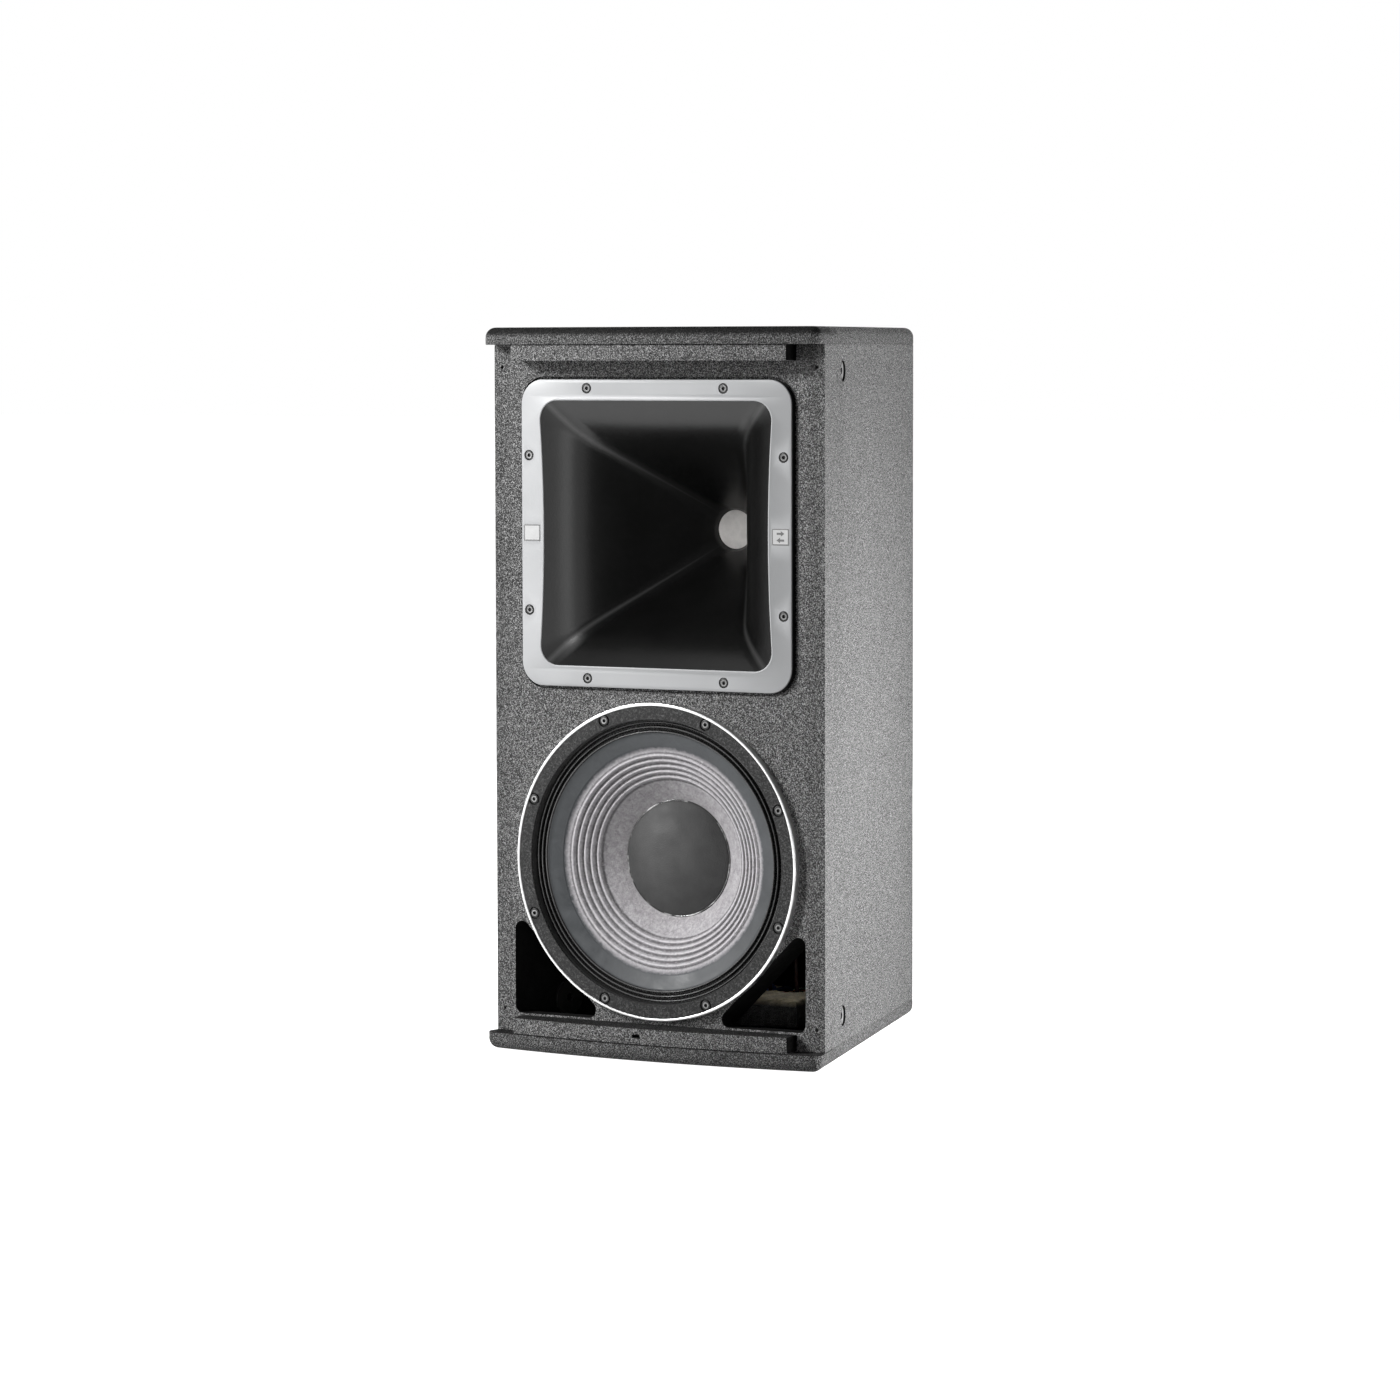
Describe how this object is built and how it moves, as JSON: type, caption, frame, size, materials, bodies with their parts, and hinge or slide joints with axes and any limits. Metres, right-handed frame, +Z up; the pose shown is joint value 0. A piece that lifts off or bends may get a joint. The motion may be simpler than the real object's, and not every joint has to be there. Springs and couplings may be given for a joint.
{
  "type": "pa speaker cabinet",
  "caption": "Tapered plywood loudspeaker cabinet with bowed top and bottom lips, a square horn above a cone woofer, corner ports and a rear input plate.",
  "frame": {"origin": "middle of the footprint, on the cabinet's underside", "axes": "+Z up, -Y out of the front where the horn and woofer face, +X to the right seen from behind the cabinet's front looking along +Y"},
  "size_m": [0.3738, 0.446, 0.716],
  "materials": {
    "textured_paint": "textured paint, matte",
    "raw_plywood": "sanded plywood",
    "black_board": "flat black paint",
    "fibre_mat": "loose fibre",
    "horn_moulding": "fine textured moulding",
    "black_screws": "black oxide",
    "zinc_steel": "zinc plated",
    "badge_face": "satin",
    "screen_cloth": "fine weave",
    "blackened_steel": "blackened steel, satin",
    "ferrite": "ground ferrite, satin",
    "diaphragm_metal": "polished foil",
    "cast_basket": "cast, machined rim",
    "foam_gasket": "fibrous, matte",
    "paper_cone": "pressed paper, matte",
    "coated_cloth": "coated pleated cloth",
    "black_cap": "coated paper, satin",
    "coil_former": "glass-fibre film",
    "copper_wire": "enamelled",
    "spider_cloth": "resin-treated weave",
    "brass_tabs": "satin",
    "circuit_board": "solder mask",
    "film_capacitor": "satin",
    "ceramic_body": "matte ceramic",
    "black_plate": "powder coat",
    "black_plastic": "moulded, matte",
    "clear_flap": "clear plastic",
    "cable_sheath": "satin"
  },
  "bodies": {
    "cabinet": {"top_panel": "textured_paint", "bottom_panel": "textured_paint", "left_side_panel": "textured_paint", "right_side_panel": "textured_paint", "rear_panel": "textured_paint", "front_baffle": "textured_paint", "upper_grille_batten": "textured_paint", "lower_grille_batten": "textured_paint", "left_port_board": "black_board", "right_port_board": "black_board", "window_brace": "raw_plywood", "corner_cleats": "raw_plywood", "side_linings": "fibre_mat", "rear_lining": "fibre_mat", "floor_lining": "fibre_mat", "horn": "horn_moulding", "horn_gasket": "foam_gasket", "horn_screws": "black_screws", "left_badge": "badge_face", "right_badge": "badge_face", "throat_screen": "screen_cloth", "hf_pole_plate": "blackened_steel", "hf_magnet": "ferrite", "hf_top_plate": "blackened_steel", "hf_phase_plug": "cast_basket", "hf_surround": "coil_former", "hf_clamp_ring": "cast_basket", "hf_back_cover": "black_plastic", "hf_driver_bolts": "black_screws", "hf_terminals": "brass_tabs", "woofer_basket": "cast_basket", "woofer_gasket": "foam_gasket", "woofer_screws": "black_screws", "woofer_tee_nuts": "zinc_steel", "woofer_surround": "coated_cloth", "woofer_spider": "spider_cloth", "woofer_top_plate": "blackened_steel", "woofer_magnet": "ferrite", "woofer_back_plate": "blackened_steel", "woofer_terminals": "brass_tabs", "crossover_board": "circuit_board", "crossover_coils": "copper_wire", "crossover_capacitors": "film_capacitor", "crossover_resistors": "ceramic_body", "rigging_nuts": "zinc_steel", "side_plug_screws": "zinc_steel", "input_plate": "black_plate", "input_plate_screws": "black_screws", "speaker_sockets": "black_plastic", "barrier_strip": "black_plastic", "selector_switch": "black_plastic", "internal_leads": "cable_sheath"},
    "cone_assembly": {"woofer_cone": "paper_cone", "woofer_dust_cap": "black_cap", "voice_coil_former": "coil_former", "voice_coil_winding": "copper_wire"},
    "hf_diaphragm_assembly": {"hf_diaphragm": "diaphragm_metal", "hf_voice_coil": "copper_wire"},
    "terminal_cover": {"barrier_cover": "clear_flap"},
    "selector": {"selector_knob": "black_plastic"}
  },
  "joints": [
    {"name": "cone_travel", "type": "slide", "parent": "cabinet", "child": "cone_assembly", "axis": [0, -1, 0], "range_m": [-0.008, 0.008], "stiffness_N_per_m": 6000, "deforming": ["woofer_surround", "woofer_spider"]},
    {"name": "diaphragm_travel", "type": "slide", "parent": "cabinet", "child": "hf_diaphragm_assembly", "axis": [0, -1, 0], "range_m": [-0.0004, 0.0004], "stiffness_N_per_m": 20000, "deforming": ["hf_surround"]},
    {"name": "cover_swing", "type": "hinge", "parent": "cabinet", "child": "terminal_cover", "pos_m": [0, 0.211, 0.258], "axis": [1, 0, 0], "range_deg": [0, 110]},
    {"name": "selector_turn", "type": "hinge", "parent": "cabinet", "child": "selector", "pos_m": [0, 0.195, 0.206], "axis": [0, 1, 0], "range_deg": [0, 90]}
  ]
}
